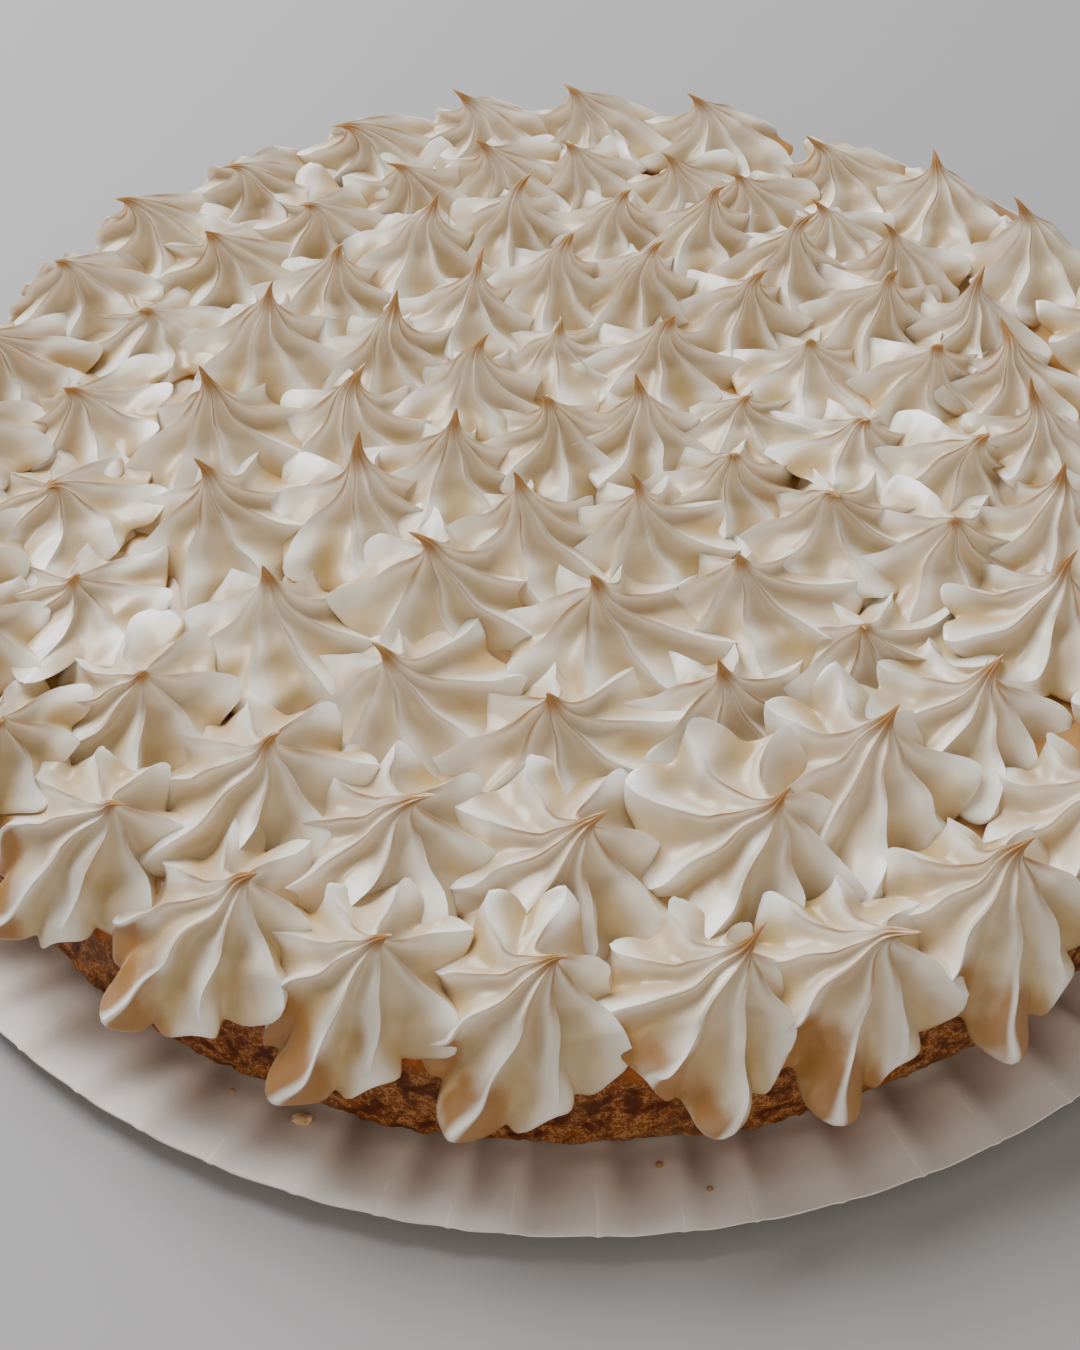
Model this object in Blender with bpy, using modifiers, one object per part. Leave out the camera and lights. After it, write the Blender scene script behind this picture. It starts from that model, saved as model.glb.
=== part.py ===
"""Lemon meringue pie: a shortcrust shell, a layer of piped star kisses and the paper case it stands in.

Metres, +Z up. The origin is at the middle of the paper's flat underside, and the front of the pie is at -Y.
"""

import math
import random
from typing import NamedTuple

import bmesh
import bpy
from mathutils import Vector

# The gap that neighbouring solids keep, since meshes hold 32-bit numbers.
GAP = 0.0003

# The paper case, opened out nearly flat round the pie.
PAPER_THICKNESS = 0.0007
PAPER_RADIUS = 0.1545
PAPER_FLAT_RADIUS = 0.1335
PAPER_EDGE_RISE = 0.0050
PAPER_RINGS = (0.5, 1.0)
FLUTES = 72
FLUTE_DEPTH = 0.0012

# The pastry shell, with its wall as (inset from the radius, share of the height) from the top down.
CRUST_RADIUS = 0.137
CRUST_BOTTOM = PAPER_THICKNESS + GAP
RIM_TOP = 0.0262
RIM_INNER_RADIUS = 0.1285
RIM_INNER_STEP = 0.0012
RIM_ROUNDING = 0.0048
RECESS_TOP = 0.0232
CRUST_WALL = ((0.0018, 0.87), (0.0002, 0.62), (0.0, 0.36), (0.0008, 0.12), (0.0035, 0.0))
CRUST_SEGMENTS = 96
CRAG_DEPTH = 0.0022
CRAG_SIZE = 0.007

# The meringue: a layer inside the rim, and the kisses piped on it.
LAYER_RADIUS = RIM_INNER_RADIUS - 2 * GAP
LAYER_TOP = 0.0275
LAYER_BOTTOM = RECESS_TOP + GAP
LAYER_SEGMENTS = 56
RIM_CLEARANCE_DROP = 0.0035
RIM_CLEARANCE_REACH = 0.0016

# A kiss: eight ridges, drawn up to a tip that leans over. Past the rim it sags.
KISS_FOOT = 0.0270
KISS_HEIGHT = 0.0208
LOBES = 8
LEAN_BEND = 1.7
DROOP_FROM = 0.1335
DROOP_SLOPE = 0.75
KISS_SEED = 12


# The levels of a kiss: share of its height, then its ridges' and its valleys' share of its radius.
BULBOUS = ((0.00, 0.84, 0.66), (0.24, 1.00, 0.64), (0.52, 0.62, 0.34), (0.82, 0.20, 0.13))
TALL = ((0.02, 1.00, 0.70), (0.42, 0.68, 0.37), (0.78, 0.23, 0.14))
SHORT = ((0.02, 1.00, 0.70), (0.54, 0.52, 0.28))


class Ring(NamedTuple):
    """A ring of kisses, in metres and degrees.

    The kisses are largest and stand widest apart at the first angle, where uneven is 0 in an even ring.
    The tips lean along the ring, anticlockwise if lean is positive.
    """

    count: int
    radius: float
    kiss_radius: float
    levels: tuple
    first: float
    uneven: float
    centre: tuple
    lean: float


RINGS = (
    Ring(28, 0.1265, 0.0167, BULBOUS, -95.0, 0.0, (0.000, 0.000), 0.0085),
    Ring(25, 0.1010, 0.0161, TALL, -125.0, 12.0, (-0.004, 0.003), 0.0070),
    Ring(18, 0.0775, 0.0161, SHORT, -94.0, 11.0, (0.003, 0.009), -0.0035),
    Ring(13, 0.0530, 0.0159, SHORT, -90.0, 10.0, (0.005, 0.012), -0.0035),
    Ring(8, 0.0305, 0.0150, SHORT, -118.0, 0.0, (0.005, 0.012), -0.0020),
    Ring(2, 0.0090, 0.0150, SHORT, -175.0, 0.0, (0.005, 0.013), 0.0015),
)

# Colours read off the object, as red, green, blue and alpha, with the roughness.
FINISHES = {
    "paper": ((0.52, 0.47, 0.45, 1.0), 0.75),
    "crust": ((0.42, 0.17, 0.05, 1.0), 0.80),
    "meringue": ((0.80, 0.74, 0.64, 1.0), 0.45),
}


def clear_scene():
    for thing in list(bpy.data.objects):
        bpy.data.objects.remove(thing)


def material(name):
    colour, roughness = FINISHES[name]
    made = bpy.data.materials.new(name)
    made.use_nodes = True
    shader = made.node_tree.nodes["Principled BSDF"]
    shader.inputs["Base Color"].default_value = colour
    shader.inputs["Roughness"].default_value = roughness
    shader.inputs["Metallic"].default_value = 0.0
    made.diffuse_color = colour
    return made


def object_from(bm, name, collection):
    """Turns a bmesh into an object in a collection."""
    mesh = bpy.data.meshes.new(name)
    bm.to_mesh(mesh)
    bm.free()
    made = bpy.data.objects.new(name, mesh)
    collection.objects.link(made)
    return made


def apply_modifiers(thing):
    """Bakes an object's modifiers into its mesh."""
    graph = bpy.context.evaluated_depsgraph_get()
    solid = bpy.data.meshes.new_from_object(thing.evaluated_get(graph))
    thing.modifiers.clear()
    thing.data = solid


def turned_object(outline, name, collection, is_ring=False):
    """Turns an outline of (radius, height) points about the Z axis; a ring's outline is closed."""
    bm = bmesh.new()
    verts = [bm.verts.new((radius, 0, z)) for radius, z in outline]
    ends = verts[1:] + verts[:1] if is_ring else verts[1:]
    for first, second in zip(verts, ends):
        bm.edges.new((first, second))
    made = object_from(bm, name, collection)
    screw = made.modifiers.new("turning", "SCREW")
    screw.steps = CRUST_SEGMENTS
    screw.render_steps = CRUST_SEGMENTS
    screw.use_merge_vertices = True
    screw.merge_threshold = 0.00001
    return made


def paper_height(share, angle):
    """The height of the paper's underside at a share of the way out to its edge."""
    flute = FLUTE_DEPTH * (1 + math.cos(FLUTES * angle)) / 2
    return (PAPER_EDGE_RISE - PAPER_THICKNESS) * share**1.5 + flute * share


def make_paper(collection):
    """A disc of paper whose rim is fluted and turned up, given its thickness by Solidify."""
    bm = bmesh.new()
    bmesh.ops.create_circle(bm, cap_ends=True, segments=2 * FLUTES, radius=PAPER_FLAT_RADIUS)
    for share in PAPER_RINGS:
        edges = [edge for edge in bm.edges if edge.is_boundary]
        grown = bmesh.ops.extrude_edge_only(bm, edges=edges)["geom"]
        radius = PAPER_FLAT_RADIUS + share * (PAPER_RADIUS - PAPER_FLAT_RADIUS)
        for vert in [item for item in grown if isinstance(item, bmesh.types.BMVert)]:
            angle = math.atan2(vert.co.y, vert.co.x)
            vert.co = (radius * math.cos(angle), radius * math.sin(angle), paper_height(share, angle))
    bm.normal_update()
    bmesh.ops.reverse_faces(bm, faces=[face for face in bm.faces if face.normal.z < 0])
    made = object_from(bm, "paper_case", collection)
    solidify = made.modifiers.new("thickness", "SOLIDIFY")
    solidify.thickness = PAPER_THICKNESS
    solidify.offset = 1.0
    made.data.materials.append(material("paper"))
    return made


def make_crust(collection):
    """A turned shell, solid up to the meringue because the pie is uncut, with a cragged wall."""
    top = (
        (0.0, RECESS_TOP),
        (RIM_INNER_RADIUS, RECESS_TOP),
        (RIM_INNER_RADIUS, RIM_TOP - RIM_INNER_STEP),
        (CRUST_RADIUS - RIM_ROUNDING, RIM_TOP),
    )
    height = RIM_TOP - CRUST_BOTTOM
    wall = [(CRUST_RADIUS - inset, CRUST_BOTTOM + share * height) for inset, share in CRUST_WALL]
    made = turned_object([*top, *wall, (0.0, CRUST_BOTTOM)], "crust", collection)
    cragged = made.vertex_groups.new(name="cragged wall")
    cragged.add(range(len(top) + 1, len(top) + len(wall) - 1), 1.0, "REPLACE")
    clouds = bpy.data.textures.new("crags", "CLOUDS")
    clouds.noise_scale = CRAG_SIZE
    crags = made.modifiers.new("crags", "DISPLACE")
    crags.texture = clouds
    crags.texture_coords = "LOCAL"
    crags.strength = CRAG_DEPTH
    crags.vertex_group = cragged.name
    made.data.materials.append(material("crust"))
    return made


class Kiss(NamedTuple):
    """One kiss: the middle of its foot, its size, how it is turned and twisted, and how its tip leans."""

    x: float
    y: float
    radius: float
    height: float
    turn: float
    twist: float
    lean: Vector
    levels: tuple


def kisses_of_ring(ring, rng):
    """The kisses of one ring, each a little different."""
    made = []
    for step in range(ring.count):
        round_ring = 2 * math.pi * step / ring.count
        uneven = math.radians(ring.uneven)
        room = 1 + uneven * math.cos(round_ring)
        start = math.radians(ring.first + rng.uniform(-1.5, 1.5))
        angle = start + round_ring + uneven * math.sin(round_ring)
        radius = ring.radius + rng.uniform(-0.0012, 0.0012)
        along = angle + math.pi / 2 + rng.uniform(-0.5, 0.5)
        lean = ring.lean * rng.uniform(0.65, 1.25)
        made.append(
            Kiss(
                x=ring.centre[0] + radius * math.cos(angle),
                y=ring.centre[1] + radius * math.sin(angle),
                radius=ring.kiss_radius * room * rng.uniform(0.96, 1.04),
                height=KISS_HEIGHT * rng.uniform(0.90, 1.06),
                turn=rng.uniform(0, 2 * math.pi / LOBES),
                twist=math.copysign(rng.uniform(0.25, 0.55), ring.lean),
                lean=Vector((lean * math.cos(along), lean * math.sin(along))),
                levels=ring.levels,
            )
        )
    return made


def kiss_point(kiss, share, radius, angle):
    """A point of a kiss, at a share of its height and at a radius and an angle round its middle."""
    turned = angle + kiss.turn + kiss.twist * share
    x = kiss.x + radius * math.cos(turned) + kiss.lean.x * share**LEAN_BEND
    y = kiss.y + radius * math.sin(turned) + kiss.lean.y * share**LEAN_BEND
    past_rim = max(0.0, math.hypot(x, y) - DROOP_FROM)
    return Vector((x, y, KISS_FOOT + share * kiss.height - DROOP_SLOPE * past_rim))


def extrude_face(bm, face):
    """Extrudes one face and returns the new one; a face with neighbours is replaced by its walls."""
    grown = bmesh.ops.extrude_face_region(bm, geom=[face, *face.edges])["geom"]
    return next(item for item in grown if isinstance(item, bmesh.types.BMFace))


def make_kiss(kiss, collection):
    """A star outline drawn up level by level to a leaning point."""
    bm = bmesh.new()
    bmesh.ops.create_circle(bm, cap_ends=True, segments=2 * LOBES, radius=1.0)
    top = bm.faces[:][0]
    for level, (share, ridges, valleys) in enumerate(kiss.levels):
        if level:
            top = extrude_face(bm, top)
        for step, vert in enumerate(top.verts):
            reach = valleys if step % 2 else ridges
            vert.co = kiss_point(kiss, share, reach * kiss.radius, math.pi * step / LOBES)
    tip = bmesh.ops.poke(bm, faces=[top])["verts"][0]
    tip.co = kiss_point(kiss, 1.0, 0.0, 0.0)
    bmesh.ops.recalc_face_normals(bm, faces=bm.faces)
    return object_from(bm, "kiss", collection)


def make_rim_clearance(collection):
    """The ring of space that the pastry's rim needs, with the gap round it."""
    inner = RIM_INNER_RADIUS - GAP
    outer = CRUST_RADIUS + RIM_CLEARANCE_REACH
    outline = (
        (inner, CRUST_BOTTOM),
        (inner, RIM_TOP + GAP),
        (CRUST_RADIUS - RIM_ROUNDING, RIM_TOP + GAP),
        (outer, RIM_TOP - RIM_CLEARANCE_DROP),
        (outer, CRUST_BOTTOM),
    )
    made = turned_object(outline, "rim_clearance", collection, is_ring=True)
    made.display_type = "WIRE"
    made.hide_render = True
    return made


def shells(bm):
    """The mesh's connected pieces, each as a set of faces."""
    left = set(bm.faces)
    found = []
    while left:
        piece = {left.pop()}
        front = list(piece)
        while front:
            near = {other for edge in front.pop().edges for other in edge.link_faces} & left
            left -= near
            piece |= near
            front.extend(near)
        found.append(piece)
    return found


def verts_between_two_faces(bm):
    """Vertices that only split an edge in two, left over where a Boolean merged faces."""
    return [vert for vert in bm.verts if len(vert.link_edges) == 2]


def drop_spare_verts(bm):
    while verts_between_two_faces(bm):
        bmesh.ops.dissolve_verts(bm, verts=verts_between_two_faces(bm))


def keep_outer_shell(bm):
    """Fills the pockets of air that the joined kisses enclose, and drops any scrap of a cut."""
    for piece in sorted(shells(bm), key=len)[:-1]:
        bmesh.ops.delete(bm, geom=list(piece), context="FACES")


def triangulate(bm):
    bmesh.ops.triangulate(bm, faces=bm.faces)


def rework(thing, *steps):
    """Runs each step on an object's mesh."""
    bm = bmesh.new()
    bm.from_mesh(thing.data)
    for step in steps:
        step(bm)
    bm.to_mesh(thing.data)
    bm.free()


def make_meringue(collection, kisses, cutters):
    """The layer inside the rim with every kiss joined to it, cut clear of the rim."""
    bm = bmesh.new()
    bmesh.ops.create_cone(
        bm,
        cap_ends=True,
        segments=LAYER_SEGMENTS,
        radius1=LAYER_RADIUS,
        radius2=LAYER_RADIUS,
        depth=LAYER_TOP - LAYER_BOTTOM,
    )
    bmesh.ops.translate(bm, vec=(0, 0, (LAYER_TOP + LAYER_BOTTOM) / 2), verts=bm.verts)
    made = object_from(bm, "meringue", collection)
    rng = random.Random(KISS_SEED)
    for ring in RINGS:
        for kiss in kisses_of_ring(ring, rng):
            make_kiss(kiss, kisses)
    join = made.modifiers.new("kisses", "BOOLEAN")
    join.operation = "UNION"
    join.solver = "MANIFOLD"
    join.operand_type = "COLLECTION"
    join.collection = kisses
    apply_modifiers(made)
    for kiss in list(kisses.objects):
        bpy.data.objects.remove(kiss)
    rework(made, keep_outer_shell, drop_spare_verts, triangulate)
    cut = made.modifiers.new("rim", "BOOLEAN")
    cut.operation = "DIFFERENCE"
    cut.solver = "MANIFOLD"
    cut.object = make_rim_clearance(cutters)
    apply_modifiers(made)
    rework(made, keep_outer_shell, triangulate)
    made.data.materials.clear()
    made.data.materials.append(material("meringue"))
    return made


def shade(thing):
    thing.data.shade_smooth()
    thing.data.set_sharp_from_angle(angle=math.radians(35))


def build():
    clear_scene()
    collections = {}
    for name in ("lemon_meringue_pie", "kisses_to_join", "cutters"):
        collections[name] = bpy.data.collections.new(name)
        bpy.context.scene.collection.children.link(collections[name])
    pie = collections["lemon_meringue_pie"]
    shade(make_paper(pie))
    shade(make_crust(pie))
    shade(make_meringue(pie, collections["kisses_to_join"], collections["cutters"]))


build()
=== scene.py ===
# %% [markdown]
# # A lemon meringue pie
#
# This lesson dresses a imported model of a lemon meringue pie: a low pastry shell, a top of piped meringue
# kisses, and the paper case it lies in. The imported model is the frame. It gives every size, so each new
# piece is made where the frame says, in metres, and then stands in for the plain solid there.

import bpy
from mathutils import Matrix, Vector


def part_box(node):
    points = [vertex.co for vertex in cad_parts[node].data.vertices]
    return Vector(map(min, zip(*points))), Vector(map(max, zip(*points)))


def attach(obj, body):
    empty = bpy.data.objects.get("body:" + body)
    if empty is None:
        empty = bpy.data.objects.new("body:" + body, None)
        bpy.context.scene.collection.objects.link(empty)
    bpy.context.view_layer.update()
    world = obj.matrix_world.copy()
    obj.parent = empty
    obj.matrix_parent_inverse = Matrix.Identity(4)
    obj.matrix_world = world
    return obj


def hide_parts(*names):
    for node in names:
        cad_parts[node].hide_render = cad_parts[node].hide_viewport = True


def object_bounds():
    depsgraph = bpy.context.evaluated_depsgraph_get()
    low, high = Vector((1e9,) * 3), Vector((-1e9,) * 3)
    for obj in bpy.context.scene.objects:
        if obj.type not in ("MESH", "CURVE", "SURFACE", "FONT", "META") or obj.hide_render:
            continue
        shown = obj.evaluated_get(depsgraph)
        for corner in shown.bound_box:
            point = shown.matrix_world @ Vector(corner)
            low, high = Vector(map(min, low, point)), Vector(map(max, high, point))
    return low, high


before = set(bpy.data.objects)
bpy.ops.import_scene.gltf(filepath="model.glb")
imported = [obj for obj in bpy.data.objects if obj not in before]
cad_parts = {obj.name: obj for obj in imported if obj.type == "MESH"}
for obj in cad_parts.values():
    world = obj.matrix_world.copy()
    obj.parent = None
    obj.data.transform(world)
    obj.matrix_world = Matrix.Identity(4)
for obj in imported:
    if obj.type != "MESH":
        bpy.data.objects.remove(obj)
CAD_BOX = [list(corner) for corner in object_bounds()]
print("the packed pie reaches from", CAD_BOX[0], "to", CAD_BOX[1])

# %% [markdown]
# ## What the lesson needs
#
# Blender's own modules model the pieces. random gives seeded chances, and numpy moves many points at once
# where a ready operator can't.

# %% The modules this lesson uses
import math
import random
from typing import NamedTuple

import bmesh
import bpy
import numpy as np
from mathutils import Matrix, Vector

print("Blender", bpy.app.version_string)

# %% [markdown]
# ## Sizes
#
# A pie is measured by its tin: the crust comes first, and the meringue and the paper follow it. The sizes
# could be typed in, but the frame already has them, so the crust's foot and top and the paper's radius are
# read from it.

# %% Sizes read from the frame
CRUST_LOW, CRUST_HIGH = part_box("crust")
PAPER_LOW, PAPER_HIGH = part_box("paper_case")

RIM_TOP = CRUST_HIGH[2]
CRUST_FOOT = CRUST_LOW[2]
PAPER_RADIUS = PAPER_HIGH[0]
print("the rim's top is at", round(RIM_TOP, 4), "and the paper's radius is", round(PAPER_RADIUS, 4))

# %% [markdown]
# ## Helpers for modelling by hand
#
# In Blender's edit mode an operator acts on everything that is selected. These helpers empty the
# selection, start a primitive, select a mesh's vertices by a test on their places, and turn, widen and
# extrude them, so that each later step reads like the same step done by hand.


# %% Selecting and editing
def deselect_all():
    for thing in bpy.context.selected_objects:
        thing.select_set(False)


def make_active(thing):
    deselect_all()
    thing.select_set(True)
    bpy.context.view_layer.objects.active = thing


def edit_mode(thing):
    make_active(thing)
    bpy.ops.object.mode_set(mode="EDIT")


def object_mode():
    bpy.ops.object.mode_set(mode="OBJECT")


# %% Starting a ring, and selecting by place
def start_circle(name, points, radius, z):
    """Adds an open ring of points and leaves it in edit mode, all selected."""
    deselect_all()
    bpy.ops.mesh.primitive_circle_add(
        vertices=points, radius=radius, fill_type="NOTHING", location=(0, 0, z)
    )
    bpy.ops.object.transform_apply(location=True, rotation=False, scale=False)
    ring = bpy.context.active_object
    ring.name = name
    bpy.ops.object.mode_set(mode="EDIT")
    return ring


def select_where(thing, test):
    """In edit mode, selects the vertices whose place passes a test, and nothing else."""
    bpy.ops.mesh.select_mode(type="VERT")
    bpy.ops.mesh.select_all(action="DESELECT")
    mesh = bmesh.from_edit_mesh(thing.data)
    for vert in mesh.verts:
        vert.select = test(vert.co)
    mesh.select_flush_mode()
    bmesh.update_edit_mesh(thing.data)


# %% Turning and widening what is selected
MIDDLE = (0, 0, 0)


def turn_selected(angle):
    """Turns the selection anticlockwise about Z, seen from above. The operator counts the other way."""
    bpy.ops.transform.rotate(value=-angle, orient_axis="Z", center_override=MIDDLE)


def widen_selected(share):
    bpy.ops.transform.resize(value=(share, share, 1), center_override=MIDDLE)


# %% Extruding rings
def extrude_up(z=0.0):
    bpy.ops.mesh.extrude_region_move(TRANSFORM_OT_translate={"value": (0, 0, z)})


def close_to_point(z=0.0):
    """Extrudes the selected ring and draws the new ring together to one point."""
    extrude_up(z)
    bpy.ops.mesh.merge(type="CENTER")


def extrude_outwards(radii):
    """Extrudes the selected ring in its own plane, from the first radius to each of the next."""
    for before, wanted in zip(radii, radii[1:]):
        extrude_up()
        widen_selected(wanted / before)


def evenly(start, end, steps):
    return [start + (end - start) * step / steps for step in range(steps + 1)]


def turn_faces_out():
    """Selects the whole mesh and points its faces outwards."""
    bpy.ops.mesh.select_all(action="SELECT")
    bpy.ops.mesh.normals_make_consistent(inside=False)


# %% Modifiers, copies and joins
def apply_all_modifiers(thing):
    make_active(thing)
    for modifier in list(thing.modifiers):
        bpy.ops.object.modifier_apply(modifier=modifier.name)


def copy_of(thing, name):
    """A copy with its own mesh."""
    copy = bpy.data.objects.new(name, thing.data.copy())
    bpy.context.scene.collection.objects.link(copy)
    return copy


def join_all(pieces, name):
    deselect_all()
    for piece in pieces:
        piece.select_set(True)
    bpy.context.view_layer.objects.active = pieces[0]
    bpy.ops.object.join()
    pieces[0].name = name
    return pieces[0]


def triangles(thing):
    thing.data.calc_loop_triangles()
    return len(thing.data.loop_triangles)


# %% Reading and writing a mesh's points
def places_of(thing):
    """All vertex places of a mesh as one table, three columns wide."""
    places = np.empty(len(thing.data.vertices) * 3)
    thing.data.vertices.foreach_get("co", places)
    return places.reshape(-1, 3)


def put_places(thing, places):
    thing.data.vertices.foreach_set("co", places.ravel())
    thing.data.update()


def ramp(values, start, width):
    """Goes from 0 at the start to 1 a width further on. A negative width goes the other way."""
    return np.clip((values - start) / width, 0, 1)


def put_values(thing, name, values):
    if name not in thing.data.attributes:
        thing.data.attributes.new(name, "FLOAT", "POINT")
    thing.data.attributes[name].data.foreach_set("value", values)


# %% [markdown]
# ## One kiss
#
# A star nozzle is a short tube with teeth, so a piped kiss is a star in section. At the foot the ridges
# swell into fat round lobes. Higher up they thin to sharp crests with hollow folds between them, and the
# pull of the nozzle draws all of them to a tip that leans or hooks over. A kiss could be sculpted, but a
# star column shows better how it comes about: a ring of points is extruded level by level, the folds are
# pressed in, and then each level is turned and pushed aside.
#
# Each ridge has four points at every level: its crest, a shoulder on each side, and the fold next to it.

# %% The star's points and levels
LOBES = 8
SLOTS = 4
CREST, SHOULDER, FOLD, NEXT_SHOULDER = range(SLOTS)
STAR_POINTS = LOBES * SLOTS
LOBE_TURN = 2 * math.pi / LOBES
SLOT_TURN = 2 * math.pi / STAR_POINTS


class Level(NamedTuple):
    """One level of a kiss: its share of the height, then radii in shares, then degrees and creases."""

    height: float
    crest: float
    shoulder: float
    fold: float
    shoulder_turn: float
    crease: float


# %% [markdown]
# ## Two kinds of kiss
#
# At the rim the baker presses longer, so the kisses are fat, with deep folds between round lobes. Further
# in they are sharp, with wide hollow faces like a tent's. A list of levels gives each kind its outline: a
# scan would be truer to one kiss, but a list is easy to read and to change.

# %% The levels of a fat kiss and of a sharp one
FAT_LEVELS = (
    Level(0.00, 0.86, 0.83, 0.77, 12.0, 0.0),
    Level(0.04, 1.06, 1.01, 0.90, 13.0, 0.0),
    Level(0.12, 1.18, 1.09, 0.83, 13.5, 0.3),
    Level(0.21, 1.19, 1.01, 0.71, 12.5, 0.5),
    Level(0.29, 1.13, 0.83, 0.58, 11.0, 0.75),
    Level(0.36, 1.02, 0.68, 0.53, 10.5, 0.9),
    Level(0.43, 0.86, 0.51, 0.41, 9.5, 1.0),
    Level(0.50, 0.68, 0.38, 0.31, 9.0, 1.0),
    Level(0.58, 0.49, 0.275, 0.225, 8.5, 1.0),
    Level(0.68, 0.30, 0.175, 0.145, 9.0, 0.95),
    Level(0.80, 0.120, 0.080, 0.070, 10.0, 0.8),
    Level(0.90, 0.050, 0.041, 0.038, 11.0, 0.5),
    Level(0.965, 0.028, 0.025, 0.024, 11.0, 0.2),
)
SHARP_LEVELS = (
    Level(0.00, 1.08, 1.06, 1.02, 11.5, 0.0),
    Level(0.04, 1.17, 1.11, 1.04, 12.0, 0.2),
    Level(0.12, 1.24, 1.11, 0.97, 12.5, 0.5),
    Level(0.21, 1.24, 0.99, 0.82, 12.0, 0.75),
    Level(0.29, 1.17, 0.80, 0.66, 11.0, 0.9),
    Level(0.36, 1.03, 0.61, 0.51, 9.5, 1.0),
    Level(0.42, 0.84, 0.46, 0.385, 8.5, 1.0),
    Level(0.49, 0.61, 0.335, 0.28, 8.0, 1.0),
    Level(0.57, 0.42, 0.235, 0.20, 8.0, 1.0),
    Level(0.67, 0.265, 0.155, 0.13, 8.5, 0.95),
    Level(0.79, 0.118, 0.078, 0.068, 10.0, 0.8),
    Level(0.89, 0.052, 0.042, 0.038, 11.0, 0.5),
    Level(0.96, 0.029, 0.026, 0.025, 11.0, 0.2),
)
print("levels of a kiss:", len(FAT_LEVELS), "and", len(SHARP_LEVELS))

# %% [markdown]
# ## Raising the column
#
# Extruding a ring upwards, level by level, leaves clean rings of faces that smooth well. The tip is merged
# to one point, and the foot is closed so that the kiss stays a solid lump.


# %% Raising the star column
SAME_HEIGHT = 1e-4
FOOT_RING = 0.5


def is_at(co, height):
    return abs(co.z - height) < SAME_HEIGHT


def raise_column(name, levels):
    """A straight round column of radius 1 and height 1, with a closed foot and a tip."""
    column = start_circle(name, STAR_POINTS, levels[0].crest, 0.0)
    for below, above in zip(levels, levels[1:]):
        extrude_up(above.height - below.height)
        widen_selected(above.crest / below.crest)
    close_to_point(1.0 - levels[-1].height)
    select_where(column, lambda co: is_at(co, 0.0))
    extrude_up()
    widen_selected(FOOT_RING)
    close_to_point()
    turn_faces_out()
    return column


# %% Pressing the folds in
def slot_of(place):
    """Which of a ridge's four points a vertex stands at."""
    return round(math.atan2(place.y, place.x) / SLOT_TURN) % SLOTS


def press_folds(column, levels):
    """Presses the folds and shoulders in, level by level, and spreads the shoulders."""
    for level in levels:
        spread = math.radians(level.shoulder_turn) - SLOT_TURN
        for slot, share, turn in (
            (SHOULDER, level.shoulder, spread),
            (FOLD, level.fold, 0.0),
            (NEXT_SHOULDER, level.shoulder, -spread),
        ):
            select_where(column, lambda co: is_at(co, level.height) and slot_of(co) == slot)
            widen_selected(share / level.crest)
            turn_selected(turn)


# %% Creasing the crests
NEAR_TIP = 0.99
UPRIGHT = 1e-3


def crease_crests(column, levels):
    """Creases the edges that run up each crest, so that they stay sharp when the cage is smoothed."""
    creases = {round(level.height, 3): level.crease for level in levels}
    mesh = bmesh.from_edit_mesh(column.data)
    crease = mesh.edges.layers.float.new("crease_edge")
    for edge in mesh.edges:
        low, high = sorted((vert.co for vert in edge.verts), key=lambda co: co.z)
        if high.z - low.z < UPRIGHT or slot_of(low) != CREST:
            continue
        if slot_of(high) == CREST or high.z > NEAR_TIP:
            edge[crease] = creases[round(low.z, 3)]
    bmesh.update_edit_mesh(column.data)


# %% Noting the ridges and the height
SHOULDER_RIDGE = 0.3


def note_ridge_and_rise(column):
    """Keeps how near a crest and how far up each point is, for browning and painted light and shade."""
    places = places_of(column)
    around = np.round(np.arctan2(places[:, 1], places[:, 0]) / SLOT_TURN) % SLOTS
    ridge = np.select([around == CREST, around == FOLD], [1.0, 0.0], SHOULDER_RIDGE)
    ridge[places[:, 2] > NEAR_TIP] = 1.0
    put_values(column, "ridge", ridge)
    put_values(column, "rise", places[:, 2])


# %% [markdown]
# ## Uneven lobes
#
# Meringue leaves the nozzle in pulses, so one lobe swells and the next stays small, and each end curls its
# own way. On the rim the four outer lobes have nothing under them, so they sag into round drops, a big one
# and a small one in turn. Seeded chances give every cage its own set.


# %% Chances for the lobes
ROUND_LOBES = (0, 1, 2, 3)
ROUND_SIDE = 1.5 * LOBE_TURN
SWELLS = (0.84, 1.10)
BIG_SWELLS = (1.10, 1.18)
SMALL_SWELLS = (0.80, 0.90)
CURLS = (-9.0, 7.0)
BOWS = (-5.0, 5.0)
LOBES_END = 0.5
LOBE_WIDTH = 0.34 * LOBE_TURN
OUTSIDE = 0.5


# %% Selecting part of a lobe
def angle_off(co, angle):
    """How far round a place is from an angle, from minus half a turn to half a turn."""
    return (math.atan2(co.y, co.x) - angle + math.pi) % (2 * math.pi) - math.pi


def select_near(column, height, angle, width):
    """Selects the outer points at one height, within a width of an angle."""

    def is_near(co):
        return is_at(co, height) and abs(angle_off(co, angle)) < width and co.xy.length > OUTSIDE

    select_where(column, is_near)


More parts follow.
